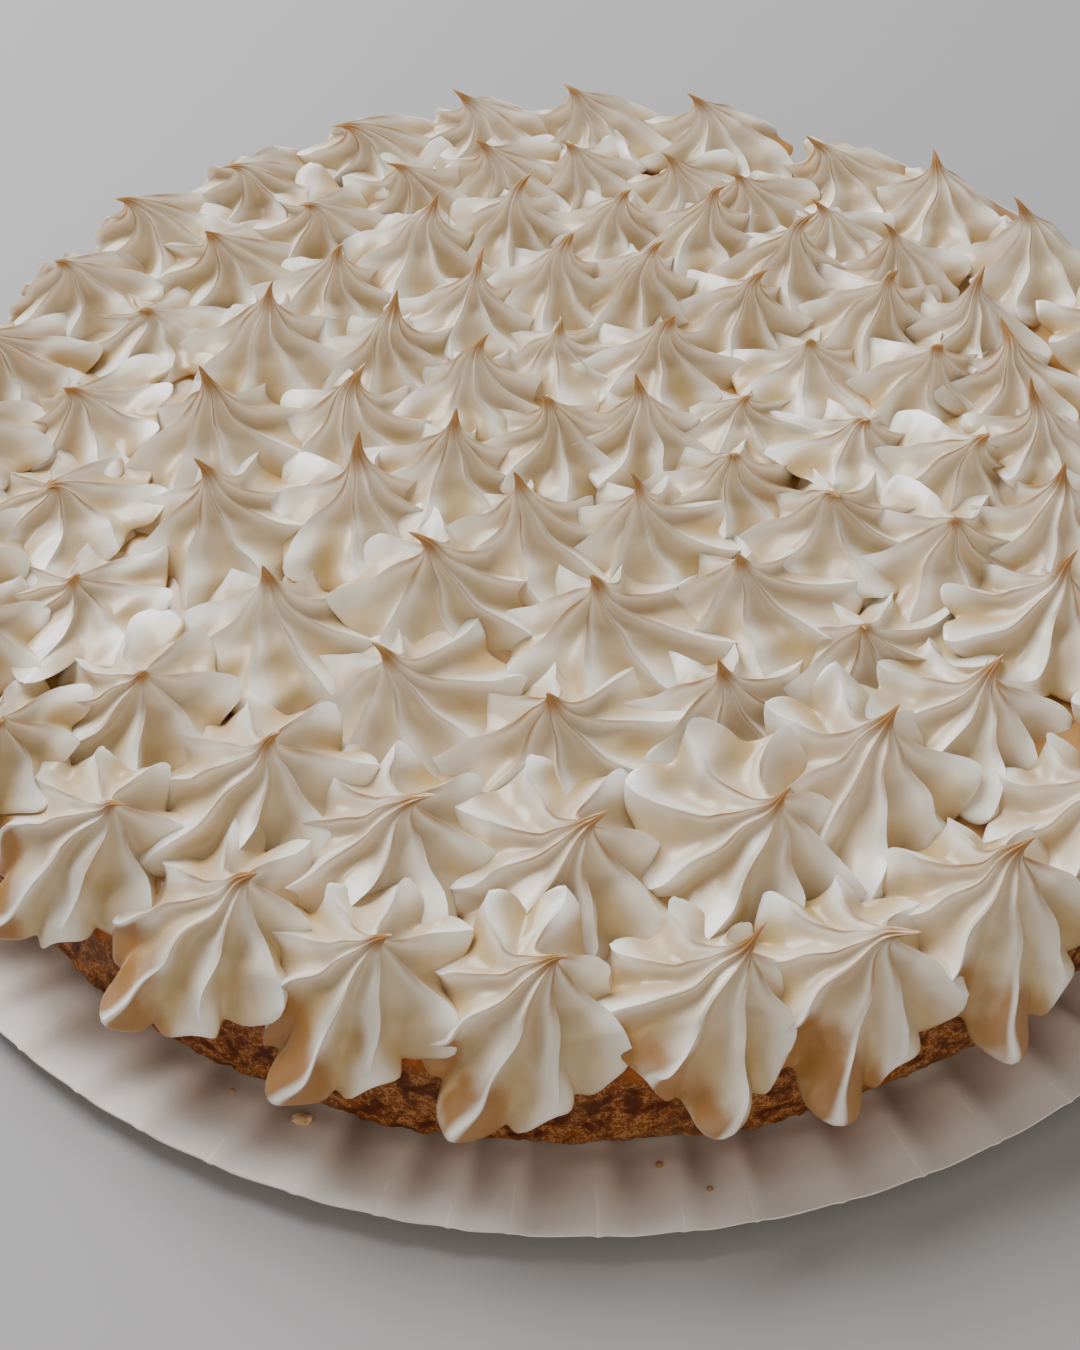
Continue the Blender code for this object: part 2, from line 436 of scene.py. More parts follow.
# %% Swelling and curling the lobes
def make_lobes_uneven(column, levels, rng, alternate):
    """Swells or shrinks each ridge and curls its end: no two come out of a nozzle alike."""
    for lobe in range(LOBES):
        swell = rng.uniform(*SWELLS)
        if alternate and lobe in ROUND_LOBES:
            swell = rng.uniform(*(BIG_SWELLS if lobe % 2 else SMALL_SWELLS))
        curl = math.radians(rng.uniform(*CURLS))
        bow = math.radians(rng.uniform(*BOWS))
        for level in levels:
            if level.height > LOBES_END:
                continue
            share = 1 - level.height / LOBES_END
            select_near(column, level.height, lobe * LOBE_TURN, LOBE_WIDTH)
            widen_selected(1 + (swell - 1) * min(1, share * 1.8))
            turn_selected(curl * share + bow * math.sin(2 * math.pi * share))


# %% Rounding off the hanging lobes
HANGING_TO = 0.25
FOOT_WIDENINGS = (2.5, 3.5, 3.5, 1.5)
SHOULDER_WIDTH = 0.05
SHOULDER_GROWTH = 1.05


def round_off_lobes(column, levels):
    """Widens the ends of the lobes on one side and takes their creases away, so that they hang fat."""
    mesh = bmesh.from_edit_mesh(column.data)
    crease = mesh.edges.layers.float["crease_edge"]
    for edge in mesh.edges:
        middle = (edge.verts[0].co + edge.verts[1].co) / 2
        lobe = round(math.atan2(middle.y, middle.x) / LOBE_TURN) % LOBES
        if lobe in ROUND_LOBES and middle.z < HANGING_TO:
            edge[crease] = 0.0
    bmesh.update_edit_mesh(column.data)
    foot = [level for level in levels if level.height < HANGING_TO]
    for lobe in ROUND_LOBES:
        for level, widening in zip(foot, FOOT_WIDENINGS):
            for way in (-1, 1):
                angle = lobe * LOBE_TURN + way * math.radians(level.shoulder_turn)
                select_near(column, level.height, angle, SHOULDER_WIDTH)
                turn_selected(way * math.radians(widening))
                widen_selected(SHOULDER_GROWTH)


# %% Making the cages
def make_cage(name, levels, rng, has_round_side=False):
    column = raise_column(name, levels)
    press_folds(column, levels)
    crease_crests(column, levels)
    object_mode()
    note_ridge_and_rise(column)
    edit_mode(column)
    if has_round_side:
        round_off_lobes(column, levels)
    make_lobes_uneven(column, levels, rng, has_round_side)
    object_mode()
    return column


# %% Four cages of each kind
KISS_CAGES_EACH = 4
cage_rng = random.Random(5)
fat_cages = [make_cage(f"fat_cage_{i}", FAT_LEVELS, cage_rng, True) for i in range(KISS_CAGES_EACH)]
sharp_cages = [make_cage(f"sharp_cage_{i}", SHARP_LEVELS, cage_rng) for i in range(KISS_CAGES_EACH)]
print("a kiss cage has", len(fat_cages[0].data.vertices), "points")

# %% [markdown]
# ## Where the kisses stand
#
# The baker pipes from the rim inwards, ring after ring, and the hand is never quite even. The packed
# solids follow one list of rings and one seeded source of small chances. The same list and the same seed
# here put every detailed kiss exactly over its plain one.


# %% The rings of kisses
class Ring(NamedTuple):
    count: int
    radius: float
    kiss_radius: float
    first: float
    uneven: float
    centre: tuple
    lean: float


class Kiss(NamedTuple):
    x: float
    y: float
    radius: float
    height: float
    turn: float
    twist: float
    lean: Vector


# %% Counts, radii and leans of the rings
RINGS = (
    Ring(28, 0.1265, 0.0167, -95.0, 0.0, (0.000, 0.000), 0.0085),
    Ring(25, 0.1010, 0.0161, -125.0, 12.0, (-0.004, 0.003), 0.0070),
    Ring(18, 0.0775, 0.0161, -94.0, 11.0, (0.003, 0.009), -0.0035),
    Ring(13, 0.0530, 0.0159, -90.0, 10.0, (0.005, 0.012), -0.0035),
    Ring(8, 0.0305, 0.0150, -118.0, 0.0, (0.005, 0.012), -0.0020),
    Ring(2, 0.0090, 0.0150, -175.0, 0.0, (0.005, 0.013), 0.0015),
)
KISS_FOOT = 0.0270
KISS_HEIGHT = 0.0208
KISS_SEED = 12
LEAN_BEND = 1.7
DROOP_FROM = 0.1335
DROOP_SLOPE = 0.75
FLOWERS = {(1, 20), (1, 21), (1, 22), (1, 23), (3, 3), (3, 4), (4, 3), (4, 5)}
FLOWER_HEIGHT = 0.66


# %% Spreading the kisses round a ring
def kisses_of_ring(ring, rng):
    for step in range(ring.count):
        round_ring = 2 * math.pi * step / ring.count
        uneven = math.radians(ring.uneven)
        room = 1 + uneven * math.cos(round_ring)
        start = math.radians(ring.first + rng.uniform(-1.5, 1.5))
        angle = start + round_ring + uneven * math.sin(round_ring)
        radius = ring.radius + rng.uniform(-0.0012, 0.0012)
        along = angle + math.pi / 2 + rng.uniform(-0.5, 0.5)
        lean = ring.lean * rng.uniform(0.65, 1.25)
        yield Kiss(
            x=ring.centre[0] + radius * math.cos(angle),
            y=ring.centre[1] + radius * math.sin(angle),
            radius=ring.kiss_radius * room * rng.uniform(0.96, 1.04),
            height=KISS_HEIGHT * rng.uniform(0.90, 1.06),
            turn=rng.uniform(0, LOBE_TURN),
            twist=math.copysign(rng.uniform(0.25, 0.55), ring.lean),
            lean=Vector((lean * math.cos(along), lean * math.sin(along))),
        )


# %% Low, open kisses
def as_flower(kiss):
    """A kiss that was cut off early: low and open, with hardly any tip."""
    low = kiss.height * FLOWER_HEIGHT
    return kiss._replace(height=low, radius=kiss.radius * 1.04, lean=kiss.lean * 0.3)


place_rng = random.Random(KISS_SEED)
rings_of_kisses = [list(kisses_of_ring(ring, place_rng)) for ring in RINGS]
for ring_number, step in sorted(FLOWERS):
    rings_of_kisses[ring_number][step] = as_flower(rings_of_kisses[ring_number][step])
print("kisses in all:", sum(len(kisses) for kisses in rings_of_kisses))

# %% [markdown]
# ## Setting the kisses
#
# Each copy of a cage is turned and pushed over level by level, which gives the swirl and the lean. Then
# it is smoothed, and set down on the pie: the lobes beyond the rim droop over the pastry, and each kiss
# sits a little askew, with some lobes riding up on the kisses next to it.


# %% Turning and leaning a kiss
HOOK_FROM = 0.74
HOOKS = (0.06, 0.14, 0.22)
HOOK_ASIDE = 0.9
TIP_DROPS = (0.0, 0.07)
SWIRL = 1.6
SWIRL_FROM = 0.2


def lean_kiss(kiss_thing, kiss, levels, rng):
    """Twists and leans the cage, while it still has radius 1 and height 1, and hooks its tip over."""
    edit_mode(kiss_thing)
    outward = math.atan2(kiss.y, kiss.x)
    face_out = LOBE_TURN * round((outward - ROUND_SIDE - kiss.turn) / LOBE_TURN)
    lean_share = kiss.lean / kiss.radius
    hook = lean_share.normalized() * rng.choice(HOOKS)
    hook.rotate(Matrix.Rotation(rng.uniform(-HOOK_ASIDE, HOOK_ASIDE), 2))
    drop = rng.uniform(*TIP_DROPS)
    swirl = kiss.twist * SWIRL
    for height in [level.height for level in levels] + [1.0]:
        select_where(kiss_thing, lambda co: is_at(co, height))
        turn_selected(kiss.turn + face_out + kiss.twist * height + swirl * (height - SWIRL_FROM) ** 2)
        hooked = max(0.0, (height - HOOK_FROM) / (1 - HOOK_FROM)) ** 2
        aside = lean_share * height**LEAN_BEND + hook * hooked
        bpy.ops.transform.translate(value=(aside.x, aside.y, -drop * hooked**2))
    object_mode()


# %% Smoothing a kiss
def smooth_kiss(kiss_thing):
    rounding = kiss_thing.modifiers.new("rounding", "SUBSURF")
    rounding.levels = 2
    rounding.render_levels = 2
    apply_all_modifiers(kiss_thing)


# %% [markdown]
# ## Seating a kiss
#
# Only now does a kiss get its real size. Its lobes droop past the rim, climb on the ring inside, and tilt
# a little to one side, and its tip is drawn out thin. At the far side the tips are lower and the petals
# stand up behind them. The rings that lean on round the pie lie open. The others lean back, and are
# crowded together. These are moves of every point at once, which no single operator makes, so numpy makes
# them.

# %% How far a kiss spreads, droops and tilts
OPEN_SPREAD = 1.02
CROWDING = 1.07
TILTS = (0.08, 0.36)
LOWEST_ASKEW = -0.002
CLIMB_SLOPE = 0.45
CLIMB_GAP = 0.004
TIP_STRETCH = 0.25
STRETCH_FROM = 0.78

# %% How the far side differs
FAR_FROM = 0.05
FAR_BAND = 0.04
FAR_LIFT = 0.42
FAR_SINK = 0.16


# %% Seating a kiss on the pie
def seat_kiss(kiss_thing, kiss, ring, rng):
    """Gives the kiss its real size and place, tilts its lobes, and lets it droop past the rim."""
    places = places_of(kiss_thing)
    is_open = ring.lean > 0
    wide = kiss.radius * (OPEN_SPREAD if is_open else CROWDING)
    x = places[:, 0] * wide
    y = places[:, 1] * wide
    rise = places[:, 2]
    tilt = rng.uniform(*TILTS)
    tilt_way = rng.uniform(0, 2 * math.pi)
    far = float(ramp(kiss.y, FAR_FROM, FAR_BAND)) if is_open else 0.0
    if far > 0:
        tilt = FAR_LIFT * far
        tilt_way = math.atan2(kiss.y, kiss.x)
    reach = np.hypot(x, y) * (1 - rise) ** 0.5
    askew = tilt * reach * np.cos(np.arctan2(y, x) - tilt_way)
    x = x + kiss.x
    y = y + kiss.y
    from_middle = np.hypot(x, y)
    droop = DROOP_SLOPE * np.maximum(0, from_middle - DROOP_FROM)
    climb = CLIMB_SLOPE * np.maximum(0, ring.radius - CLIMB_GAP - from_middle) if is_open else 0.0
    drawn_out = rise + TIP_STRETCH * (1 - far) * np.maximum(0, rise - STRETCH_FROM)
    height = drawn_out * kiss.height * (1 - FAR_SINK * far)
    lift = (climb + np.maximum(askew, LOWEST_ASKEW)) * (1 - rise)
    z = KISS_FOOT + height - droop + lift
    places = np.column_stack((x, y, z))
    put_places(kiss_thing, places + hand_waves(places))
    put_values(kiss_thing, "toast_and_bed_shade", toast_of(kiss_thing, kiss, rng))


# %% Slow waves of the hand
WAVES = (
    ((430, 120, 260), (0.5, 2.1, 4.0), 0.00028),
    ((-210, 520, 340), (1.9, 0.2, 3.1), 0.00024),
    ((760, -590, 410), (2.7, 5.0, 0.9), 0.00014),
)


def hand_waves(places):
    """Small slow waves, since neither the hand nor the meringue is ever quite even."""
    moves = np.zeros_like(places)
    for wave, phases, size in WAVES:
        along = places @ np.array(wave)
        for axis, phase in enumerate(phases):
            moves[:, axis] += size * np.sin(along + phase)
    return moves


# %% [markdown]
# ## Where the meringue browned
#
# The flame browned what it reached: on each kiss at the rim, the shaded face of the leftmost lobe and a
# narrow band beside each crest. A painted mask would do, but the place and the normal of each point say
# the same, so the browning is worked out from them and kept as a number on each point.

# %% What the flame reached
HANG_FROM = 0.126
HANG_BAND = 0.010
FLAME_TOP = 0.0425
FLAME_BAND = 0.012
LEFT_FROM = 0.42
LEFT_BAND = 0.40
BESIDE_CREST = 0.40
FLAME_CHANCE = (0.8, 1.25)


# %% How browned each point is
def toast_of(kiss_thing, kiss, rng):
    """Most on the low outer lobes: the leftmost lobe's outer face, and a band beside each crest."""
    places = places_of(kiss_thing)
    normals = np.empty(places.size)
    kiss_thing.data.vertex_normals.foreach_get("vector", normals)
    normals = normals.reshape(-1, 3)
    from_middle = np.hypot(places[:, 0], places[:, 1])
    outward = places[:, :2] / np.maximum(from_middle, 1e-6)[:, None]
    faces_out = (normals[:, :2] * outward).sum(axis=1)
    faces_left = normals[:, 0] * outward[:, 1] - normals[:, 1] * outward[:, 0]
    overhang = ramp(from_middle, HANG_FROM, HANG_BAND)
    low = ramp(places[:, 2], FLAME_TOP, -FLAME_BAND)
    off_x = (places[:, 0] - kiss.x) / kiss.radius
    off_y = (places[:, 1] - kiss.y) / kiss.radius
    left = off_x * outward[:, 1] - off_y * outward[:, 0]
    out = off_x * outward[:, 0] + off_y * outward[:, 1]
    left_part = ramp(0.77 * left + 0.64 * out, LEFT_FROM, LEFT_BAND)
    shaded = np.clip(1.0 - 1.2 * faces_left + 0.2 * faces_out, 0, 1)
    beside_crest = BESIDE_CREST * np.clip(faces_left, 0, 1)
    return overhang * low * np.clip(left_part * shaded + beside_crest, 0, 1) * rng.uniform(*FLAME_CHANCE)


# %% Piping a ring
def make_ring_piece(name, ring, kisses, cages, levels, rng):
    pieces = []
    for kiss in kisses:
        piece = copy_of(rng.choice(cages), f"{name}_{len(pieces)}")
        lean_kiss(piece, kiss, levels, rng)
        smooth_kiss(piece)
        seat_kiss(piece, kiss, ring, rng)
        pieces.append(piece)
    return join_all(pieces, name)


# %% [markdown]
# ## Piping all the rings
#
# A whole ring in one piece would hold more faces than a printer's file likes, so a long ring is kept as
# two or three pieces of at most thirteen kisses each.

# %% Piping all the rings
meringue_pieces = []
seat_rng = random.Random(31)
MOST_IN_PIECE = 13
RING_NAMES = ("rim", "second", "third", "fourth", "fifth", "middle")
for number, ring_name in enumerate(RING_NAMES):
    kisses = rings_of_kisses[number]
    cages, levels = (fat_cages, FAT_LEVELS) if number < 2 else (sharp_cages, SHARP_LEVELS)
    parts = math.ceil(len(kisses) / MOST_IN_PIECE)
    each = math.ceil(len(kisses) / parts)
    for part in range(parts):
        name = f"kisses_{ring_name}" + (f"_{'abc'[part]}" if parts > 1 else "")
        some = kisses[part * each : (part + 1) * each]
        meringue_pieces.append(make_ring_piece(name, RINGS[number], some, cages, levels, seat_rng))
for cage in fat_cages + sharp_cages:
    bpy.data.objects.remove(cage)
for piece in meringue_pieces:
    print(piece.name, triangles(piece), "triangles")

# %% [markdown]
# ## The bed of meringue
#
# Under the kisses lies a spread layer of the same meringue, which shows only as warm hollows between
# them. It is coloured with painted shade: its points count as deep folds, and a browning number darkens it
# further. It is a disc with a rounded edge: a ring of points extruded outwards and down, then roughened a
# little.

# %% The bed's sizes
BED_RADIUS = 0.1272
BED_TOP = 0.0298
BED_FOOT = 0.0240
BED_POINTS = 160
BED_RINGS = 40
BED_FIRST = 0.004
BED_FLAT = 0.1252
BED_EDGE_DROP = 0.0012
# painted shade: a browning number that darkens the bed in the gaps between kisses
BED_PAINTED_SHADE = 0.30


# %% Spreading the bed
def make_bed():
    bed = start_circle("meringue_bed", BED_POINTS, BED_FIRST, BED_TOP)
    close_to_point()
    select_where(bed, lambda co: co.xy.length > BED_FIRST / 2)
    extrude_outwards(evenly(BED_FIRST, BED_FLAT, BED_RINGS) + [BED_RADIUS])
    bpy.ops.transform.translate(value=(0, 0, -BED_EDGE_DROP))
    extrude_up(BED_FOOT - BED_TOP + BED_EDGE_DROP)
    close_to_point()
    turn_faces_out()
    object_mode()
    # no ridge and no rise, so the painted fold and gap shade covers the bed, with a browning number as
    # painted shade on top
    for name, value in (("ridge", 0.0), ("rise", 0.0), ("toast_and_bed_shade", BED_PAINTED_SHADE)):
        put_values(bed, name, np.full(len(bed.data.vertices), value))
    return bed


# %% Roughening a piece
def clouds(name, size, depth=2):
    texture = bpy.data.textures.new(name, "CLOUDS")
    texture.noise_scale = size
    texture.noise_depth = depth
    return texture


def displace(thing, texture, strength, middle=0.5, **settings):
    """Pushes the points in and out by a texture that is read in the mesh's own space."""
    push = thing.modifiers.new(texture.name, "DISPLACE")
    push.texture = texture
    push.texture_coords = "LOCAL"
    push.strength = strength
    push.mid_level = middle
    for key, value in settings.items():
        setattr(push, key, value)


# %% A lumpy top for the bed
bed = make_bed()
displace(bed, clouds("bed_lumps", 0.009), 0.004, direction="Z")
apply_all_modifiers(bed)
meringue_pieces.append(bed)
print("bed", triangles(bed), "triangles")

# %% [markdown]
# ## The pastry shell
#
# A shortcrust shell is pressed into a tin, so its wall is a turned shape, but the dough tears and
# crumbles as it bakes. The outline is spun round, finely enough that displacement can carve real crags
# and flakes into it.

# %% The shell's outline
CRUST_OUTLINE = (
    (0.0000, CRUST_FOOT),
    (0.1300, CRUST_FOOT),
    (0.1340, CRUST_FOOT + 0.0002),
    (0.1358, CRUST_FOOT + 0.0016),
    (0.1366, CRUST_FOOT + 0.0045),
    (0.1368, CRUST_FOOT + 0.0100),
    (0.1366, CRUST_FOOT + 0.0160),
    (0.1360, CRUST_FOOT + 0.0205),
    (0.1348, CRUST_FOOT + 0.0236),
    (0.1328, RIM_TOP - 0.0004),
    (0.1305, RIM_TOP - 0.0002),
    (0.1284, RIM_TOP - 0.0010),
    (0.1278, RIM_TOP - 0.0032),
    (0.0000, RIM_TOP - 0.0032),
)
SHELL_STEPS = 1200
WALL_SPACING = 0.0007
HIDDEN_STEPS = 6
HIDDEN_WITHIN = 0.126


# %% The points along the outline
def outline_points(corners, spacing):
    """Points along an outline, no further apart than the spacing. Hidden parts get a few only."""
    points = [Vector((corners[0][0], 0, corners[0][1]))]
    for (r0, z0), (r1, z1) in zip(corners, corners[1:]):
        steps = max(1, round(math.hypot(r1 - r0, z1 - z0) / spacing))
        if min(r0, r1) < HIDDEN_WITHIN:
            steps = HIDDEN_STEPS
        for step in range(1, steps + 1):
            share = step / steps
            points.append(Vector((r0 + (r1 - r0) * share, 0, z0 + (z1 - z0) * share)))
    return points


# %% Drawing the outline and spinning it
def draw_line(name, points):
    """Draws a line of points by extrusion, from a small plane that is merged to its first point."""
    deselect_all()
    bpy.ops.mesh.primitive_plane_add(size=0.01, location=points[0])
    bpy.ops.object.transform_apply(location=True, rotation=False, scale=False)
    line = bpy.context.active_object
    line.name = name
    bpy.ops.object.mode_set(mode="EDIT")
    bpy.ops.mesh.select_mode(type="VERT")
    bpy.ops.mesh.select_all(action="SELECT")
    bpy.ops.mesh.merge(type="CENTER")
    for before, after in zip(points, points[1:]):
        bpy.ops.mesh.extrude_region_move(TRANSFORM_OT_translate={"value": after - before})
    return line


def make_shell():
    shell = draw_line("pastry_shell", outline_points(CRUST_OUTLINE, WALL_SPACING))
    bpy.ops.mesh.select_all(action="SELECT")
    bpy.ops.mesh.spin(steps=SHELL_STEPS, angle=2 * math.pi, center=MIDDLE, axis=(0, 0, 1))
    bpy.ops.mesh.select_all(action="SELECT")
    bpy.ops.mesh.remove_doubles(threshold=1e-6)
    turn_faces_out()
    object_mode()
    return shell


shell = make_shell()
print("shell", triangles(shell), "triangles")

# %% [markdown]
# ## Crags and flakes
#
# Baked shortcrust is rough at three sizes: slow swells from the fingers, crags where the dough tore, and
# small flakes. Sculpting them would take a day, so three noise textures push the fine mesh in and out. A
# weight keeps the foot flat and the lip at the top smoother, where butter pooled and browned.

# %% Bands of the wall
WALL_FROM = 0.1275
WALL_BAND = 0.003
FOOT_BAND = 0.0012
SMOOTH_FROM = RIM_TOP - 0.0045
SMOOTH_BAND = 0.0035
SMOOTHNESS = 0.55
LIP_FROM = RIM_TOP - 0.0052
LIP_BAND = 0.0026
FLOURY_TO = 0.009
WEIGHT_STEPS = 20


# %% Which parts are rough
def note_wall(shell):
    """A weight of 1 on the wall, less on the rim's top, and none underneath."""
    places = places_of(shell)
    radius = np.hypot(places[:, 0], places[:, 1])
    z = places[:, 2]
    wall = ramp(radius, WALL_FROM, WALL_BAND) * ramp(z, CRUST_FOOT, FOOT_BAND)
    weight = wall * (1 - SMOOTHNESS * ramp(z, SMOOTH_FROM, SMOOTH_BAND))
    group = shell.vertex_groups.new(name="wall")
    steps = np.round(weight * WEIGHT_STEPS).astype(int)
    for step in range(1, WEIGHT_STEPS + 1):
        group.add(np.nonzero(steps == step)[0].tolist(), step / WEIGHT_STEPS, "REPLACE")


def note_lip(shell):
    """Where the orange lip is, which is also painted with shade, and how floury the foot, for the pastry's
    finish.
    """
    z = places_of(shell)[:, 2]
    put_values(shell, "lip", ramp(z, LIP_FROM, LIP_BAND))
    put_values(shell, "low", 1 - ramp(z, CRUST_FOOT, FLOURY_TO))


# %% Carving the shell
note_wall(shell)
note_lip(shell)
displace(shell, clouds("big_swells", 0.016), 0.0022, 0.62, vertex_group="wall")
displace(shell, clouds("crags", 0.0050), 0.0020, 0.62, vertex_group="wall")
displace(shell, clouds("flakes", 0.0021, 3), 0.0014, 0.60, vertex_group="wall")
apply_all_modifiers(shell)
print("the shell reaches", round(float(np.hypot(*places_of(shell)[:, :2].T).max()), 4), "from its middle")

# %% [markdown]
# ## The paper case
#
# The case was a fluted cup, and now lies opened out flat under the pie with its edge turned up. Each
# flute is a soft trough near the pastry and a sharp crease towards the edge. A sheet of rings is laid
# out flat, each point is lifted to its flute, and Solidify gives it the thickness of paper.

# %% The paper's sizes
PAPER_FLAT = 0.1335
PAPER_FOLDS = 72
POINTS_A_FOLD = 16
PAPER_THICKNESS = 0.0004
PAPER_EDGE = PAPER_RADIUS - 0.0004
EDGE_RISE = 0.0042
FLUTE_DEPTH = 0.0017
PLEAT = 0.68
NICK = 0.002
NICK_WIDTH = 0.045
NICKS_FROM = PAPER_RADIUS - 0.002


# %% The shape of the flutes
def paper_shape(radius, angle, fold_places):
    """The paper's height over the table and how deep in a flute it is, for painted shade, by radius and
    angle.
    """
    share = np.clip((radius - PAPER_FLAT) / (PAPER_RADIUS - PAPER_FLAT), 0, 1)
    turn = (angle / (2 * math.pi) - 0.25) % 1.0
    along = np.interp(turn, fold_places, np.arange(len(fold_places)))
    phase = along % 1.0
    panel = np.where(phase < PLEAT, phase / PLEAT, (1 - phase) / (1 - PLEAT))
    wave = panel * panel * (3 - 2 * panel)
    depth = FLUTE_DEPTH * np.interp(share, (0, 0.3, 0.6, 1), (0, 1, 0.8, 0.35))
    hollow_shade = (1 - wave) * np.interp(share, (0, 0.15, 0.75, 1), (1, 1, 0.15, 0))
    return EDGE_RISE * share**1.3 + depth * wave, hollow_shade, along, np.clip(share * 2.4 - 1.0, 0, 1)


# %% Folds of uneven width
fold_rng = random.Random(8)
fold_widths = np.array([fold_rng.uniform(0.75, 1.3) for fold in range(PAPER_FOLDS)])
fold_places = np.concatenate(([0.0], np.cumsum(fold_widths) / fold_widths.sum()))


# %% Laying out the sheet
def make_paper():
    """A flat sheet of rings, lifted to its flutes, with a small point at the edge on each pleat."""
    radii = evenly(0.02, 0.13, 10) + evenly(PAPER_FLAT, PAPER_EDGE, 14)[1:]
    paper = start_circle("paper_case_sheet", POINTS_A_FOLD * PAPER_FOLDS, radii[0], 0.0)
    close_to_point()
    select_where(paper, lambda co: co.xy.length > radii[0] / 2)
    extrude_outwards(radii)
    turn_faces_out()
    object_mode()
    places = places_of(paper)
    radius = np.hypot(places[:, 0], places[:, 1])
    angle = np.arctan2(places[:, 1], places[:, 0])
    height, hollow_shade, along, outer = paper_shape(radius, angle, fold_places)
    places[:, 2] = height
    nick = np.exp(-(((along % 1.0 - PLEAT) / NICK_WIDTH) ** 2)) * (radius > NICKS_FROM)
    places[:, :2] *= (1 + NICK * nick)[:, None]
    put_places(paper, places)
    # the trough mask for the paper's painted shade
    put_values(paper, "hollow_shade", hollow_shade)
    put_values(paper, "flute_turn", along)
    put_values(paper, "outer", outer)
    return paper


# %% Giving the paper its thickness
paper = make_paper()
thickness = paper.modifiers.new("thickness", "SOLIDIFY")
thickness.thickness = PAPER_THICKNESS
thickness.offset = -1
apply_all_modifiers(paper)
places = places_of(paper)
places[:, 2] += PAPER_LOW[2] - places[:, 2].min()
put_places(paper, places)
print("paper", triangles(paper), "triangles, up to", round(places[:, 2].max(), 4))

# %% [markdown]
# ## Crumbs on the paper
#
# Where the pie was lifted into its case, a few crumbs broke off the crust. One is as big as a lentil and
# pale, as it shows the inside of the pastry. The others are small and brown. One rough lump is made, and
# copied with its own turn and size each time, and every copy lies on the paper under it.

# %% One crumb
deselect_all()
bpy.ops.mesh.primitive_ico_sphere_add(subdivisions=3, radius=1.0, location=MIDDLE)
lump = bpy.context.active_object
lump.name = "crumb_lump"
displace(lump, clouds("crumb_crags", 0.7), 0.9)
apply_all_modifiers(lump)
print("one crumb has", triangles(lump), "triangles")

# %% Where the crumbs go
BIG_CRUMB_TURN = math.radians(-110.4)
BIG_CRUMB_AWAY = 0.1393
BIG_CRUMB_SIZE = 0.0018
SMALL_CRUMBS = 15
SMALL_CRUMBS_AWAY = (0.1385, 0.146)
SMALL_CRUMB_SIZES = (0.0004, 0.0009)
FLATNESS = 0.55
SUNK = 0.25


# %% Laying one crumb down
def lay_crumb(name, radius, angle, size, paleness, rng):
    """Copies the lump, turns and flattens it, and lets it down until it lies on the paper."""
    crumb = copy_of(lump, name)
    spin = Matrix.Rotation(rng.uniform(0, 2 * math.pi), 3, "Z")
    tumble = Matrix.Rotation(rng.uniform(0, 3.0), 3, "X")
    places = places_of(crumb) @ np.array(spin @ tumble).T
    places *= np.array((size * rng.uniform(0.9, 1.2), size * rng.uniform(0.6, 0.9), size * FLATNESS))
    places[:, 0] += radius * math.cos(angle)
    places[:, 1] += radius * math.sin(angle)
    reach = np.hypot(places[:, 0], places[:, 1])
    around = np.arctan2(places[:, 1], places[:, 0])
    paper_height = paper_shape(reach, around, fold_places)[0] + PAPER_LOW[2] + PAPER_THICKNESS
    places[:, 2] += (paper_height - places[:, 2]).max() - size * SUNK
    put_places(crumb, places)
    put_values(crumb, "pale", np.full(len(places), paleness))
    return crumb


# %% Laying them all down
crumb_rng = random.Random(4)
crumbs = [lay_crumb("crumb_big", BIG_CRUMB_AWAY, BIG_CRUMB_TURN, BIG_CRUMB_SIZE, 1.0, crumb_rng)]
for number in range(SMALL_CRUMBS):
    angle = crumb_rng.uniform(0, 2 * math.pi)
    size = crumb_rng.uniform(*SMALL_CRUMB_SIZES)
    radius = crumb_rng.uniform(*SMALL_CRUMBS_AWAY)
    paleness = crumb_rng.uniform(0, 0.6)
    crumbs.append(lay_crumb(f"crumb_{number}", radius, angle, size, paleness, crumb_rng))
bpy.data.objects.remove(lump)
crumbs = join_all(crumbs, "pastry_crumbs")
print("crumbs", triangles(crumbs), "triangles")

# %% [markdown]
# ## Smooth shading
#
# Meringue is smooth but its crests are crisp, so the shading is smooth except across sharp edges.

# %% Shading each piece
SHARP_FROM = 40
for piece in meringue_pieces + [shell, paper, crumbs]:
    make_active(piece)
    bpy.ops.object.shade_smooth_by_angle(angle=math.radians(SHARP_FROM))
print("shaded", len(meringue_pieces) + 3, "pieces")


# %% [markdown]
# ## Materials
#
# Each finish is built from nodes: noise in the object's own space for what is random, and the numbers kept
# on the points for what follows the shape. Photographs on the surface would look real from one side only.
# These helpers add one node each, so that a finish reads as a short recipe.


# %% Starting a material
def new_material(name):
    material = bpy.data.materials.new(name)
    material.use_nodes = True
    return material, material.node_tree, material.node_tree.nodes["Principled BSDF"]


def add_node(tree, kind, **settings):
    node = tree.nodes.new(kind)
    for key, value in settings.items():
        setattr(node, key, value)
    return node


def attribute(tree, name):
    return add_node(tree, "ShaderNodeAttribute", attribute_name=name).outputs["Fac"]


# %% Patterns and their limits
def noise(tree, scale, detail=3.0, rough=0.5):
    place = add_node(tree, "ShaderNodeTexCoord")
    pattern = add_node(tree, "ShaderNodeTexNoise")
    pattern.inputs["Scale"].default_value = scale
    pattern.inputs["Detail"].default_value = detail
    pattern.inputs["Roughness"].default_value = rough
    tree.links.new(place.outputs["Object"], pattern.inputs["Vector"])
    return pattern.outputs["Fac"]


